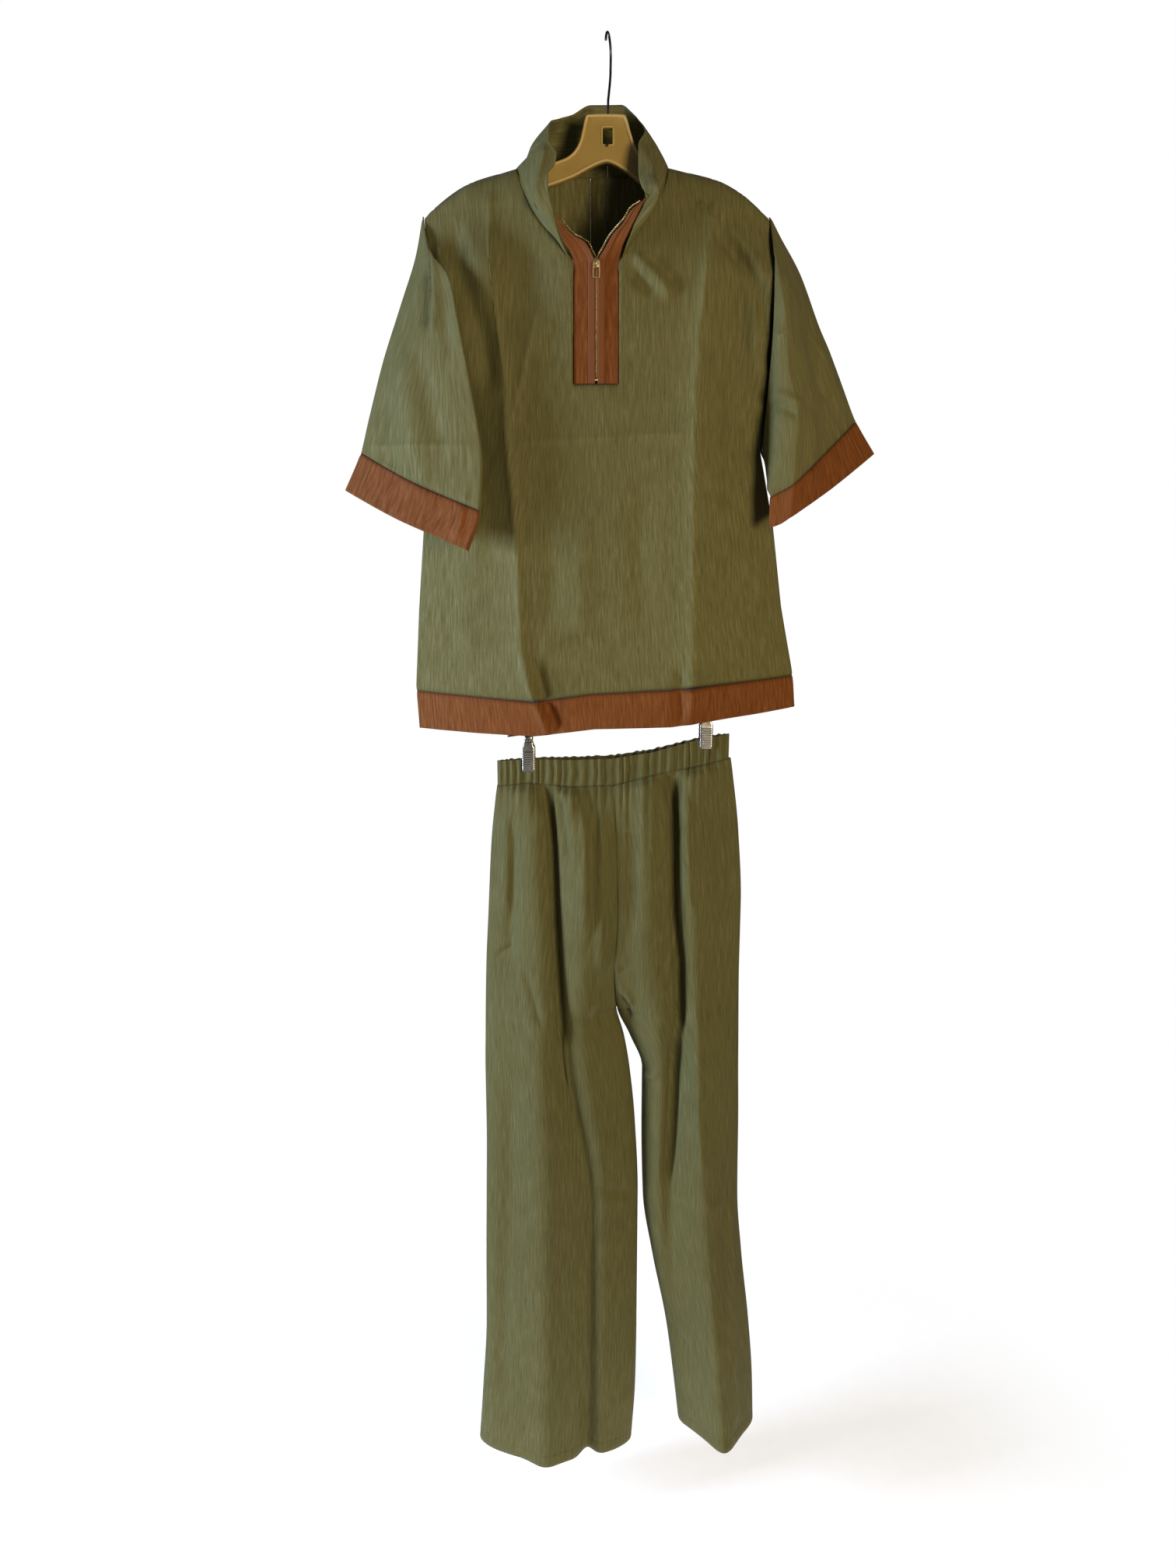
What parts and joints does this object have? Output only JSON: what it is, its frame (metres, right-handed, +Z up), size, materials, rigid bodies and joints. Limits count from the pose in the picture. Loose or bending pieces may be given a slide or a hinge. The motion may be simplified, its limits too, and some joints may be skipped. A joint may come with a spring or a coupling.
{
  "type": "co-ord set on hangers",
  "caption": "Half-zip crepe top with short wide sleeves on a moulded hanger, and matching straight trousers with a gathered elastic waist hung below it from clips.",
  "frame": {"origin": "the seat of the hanger's hook: the lowest point of the wire's underside at the top of its bend, where a rail bears", "axes": "+Z up, -Y the front of the clothes, +X the wearer's left"},
  "size_m": [0.6551, 0.1386, 1.8477],
  "materials": {
    "olive_crepe": "crinkled crepe, slight sheen",
    "rust_crepe": "crinkled crepe, slight sheen",
    "olive_trousers": "fine crepe, matte",
    "gilt_zip": "polished",
    "hanger_plastic": "satin",
    "dark_steel_wire": "dark, drawn wire",
    "nickel_clip": "nickel plated"
  },
  "bodies": {
    "set": {"top_front": "olive_crepe", "top_back_right": "olive_crepe", "top_back_left": "olive_crepe", "sleeve_right": "olive_crepe", "sleeve_left": "olive_crepe", "collar": "olive_crepe", "hem_band_front": "rust_crepe", "hem_band_back": "rust_crepe", "cuff_right": "rust_crepe", "cuff_left": "rust_crepe", "placket_right": "rust_crepe", "placket_left": "rust_crepe", "trousers_front_right_upper": "olive_trousers", "trousers_front_right_crotch": "olive_trousers", "trousers_front_right_middle": "olive_trousers", "trousers_front_right_lower": "olive_trousers", "trousers_back_right_upper": "olive_trousers", "trousers_back_right_crotch": "olive_trousers", "trousers_back_right_middle": "olive_trousers", "trousers_back_right_lower": "olive_trousers", "trousers_front_left_upper": "olive_trousers", "trousers_front_left_crotch": "olive_trousers", "trousers_front_left_middle": "olive_trousers", "trousers_front_left_lower": "olive_trousers", "trousers_back_left_upper": "olive_trousers", "trousers_back_left_crotch": "olive_trousers", "trousers_back_left_middle": "olive_trousers", "trousers_back_left_lower": "olive_trousers", "waistband": "olive_trousers", "zip_chain_right": "gilt_zip", "zip_chain_left": "gilt_zip", "zip_slider": "gilt_zip", "zip_stop": "gilt_zip", "zip_bail": "gilt_zip", "hanger_body": "hanger_plastic", "hanger_hook": "dark_steel_wire", "drop_link": "dark_steel_wire", "clip_bar": "dark_steel_wire", "clip_front_right": "nickel_clip", "clip_back_right": "nickel_clip", "clip_spring_right": "nickel_clip", "clip_front_left": "nickel_clip", "clip_back_left": "nickel_clip", "clip_spring_left": "nickel_clip"},
    "pull": {"zip_pull": "gilt_zip"}
  },
  "joints": [
    {"name": "pull_swing", "type": "hinge", "parent": "set", "child": "pull", "pos_m": [-0.0135, -0.05874, -0.2535], "axis": [-1, 0, 0], "range_deg": [0, 165]}
  ]
}
